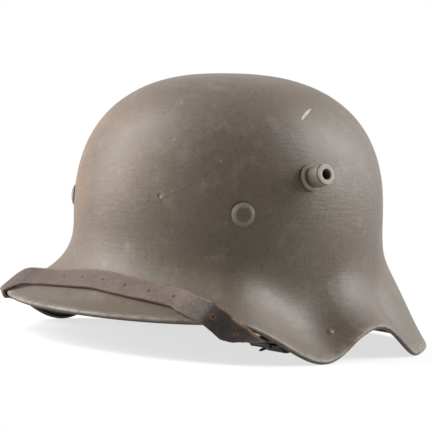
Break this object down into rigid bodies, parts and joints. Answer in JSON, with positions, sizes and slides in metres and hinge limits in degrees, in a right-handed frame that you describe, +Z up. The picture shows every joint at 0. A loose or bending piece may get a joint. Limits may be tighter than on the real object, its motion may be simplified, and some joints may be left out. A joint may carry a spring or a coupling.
{
  "type": "steel helmet",
  "caption": "Deep steel helmet with flared visor and neck guard, vent lugs, riveted leather liner and a buckled leather chinstrap laid over the visor.",
  "frame": {"origin": "centre of the bounding box at floor level: the helmet stands on its rim, on the ear lobes and the neck guard", "axes": "+Z up, -Y the way the visor faces, +X the wearer's left"},
  "size_m": [0.2392, 0.3116, 0.1782],
  "materials": {
    "shell_paint": "semi-matt field-grey paint aged to a grey-brown, mottled, with fine scratches",
    "lug_paint": "the same paint, darker in the grooves and worn to steel on the edges",
    "pin_paint": "the same paint, worn bright round the rim of the head",
    "washer_steel": "dull steel",
    "band_steel": "dark lacquered steel",
    "pad_leather": "brown vegetable-tanned leather, matt",
    "cushion_cloth": "undyed linen",
    "rivet_metal": "dull brass",
    "bale_steel": "dull steel wire",
    "strap_leather": "dark grey-brown leather, worn, with tan edges and holes",
    "buckle_steel": "blackened steel"
  },
  "bodies": {
    "helmet": {"shell": "shell_paint", "vent_lug_left": "lug_paint", "vent_lug_right": "lug_paint", "lug_washers": "washer_steel", "liner_pin_left": "pin_paint", "liner_pin_right": "pin_paint", "liner_pin_rear": "pin_paint", "pin_washers": "washer_steel", "liner_band": "band_steel", "pad_front": "pad_leather", "pad_rear_left": "pad_leather", "pad_rear_right": "pad_leather", "pad_rivets": "rivet_metal", "cushion_front": "cushion_cloth", "cushion_rear_left": "cushion_cloth", "cushion_rear_right": "cushion_cloth", "bale_tab_left": "band_steel", "bale_tab_right": "band_steel", "tab_rivets": "rivet_metal", "bale_left": "bale_steel", "bale_right": "bale_steel", "chinstrap": "strap_leather", "rivet_right_bale": "rivet_metal", "short_strap": "strap_leather", "rivet_left_bale": "rivet_metal", "rivet_buckle": "rivet_metal", "buckle_frame": "buckle_steel"},
    "roller": {"buckle_roller": "buckle_steel"},
    "prong": {"buckle_prong": "buckle_steel"}
  },
  "joints": [
    {"name": "roller_spin", "type": "hinge", "parent": "helmet", "child": "roller", "pos_m": [0.09213, -0.07022, 0.01024], "axis": [1, 0, 0], "continuous": true},
    {"name": "prong_swing", "type": "hinge", "parent": "helmet", "child": "prong", "pos_m": [0.09213, -0.05425, 0.0112], "axis": [1, 0, 0], "range_deg": [0, 5]}
  ]
}
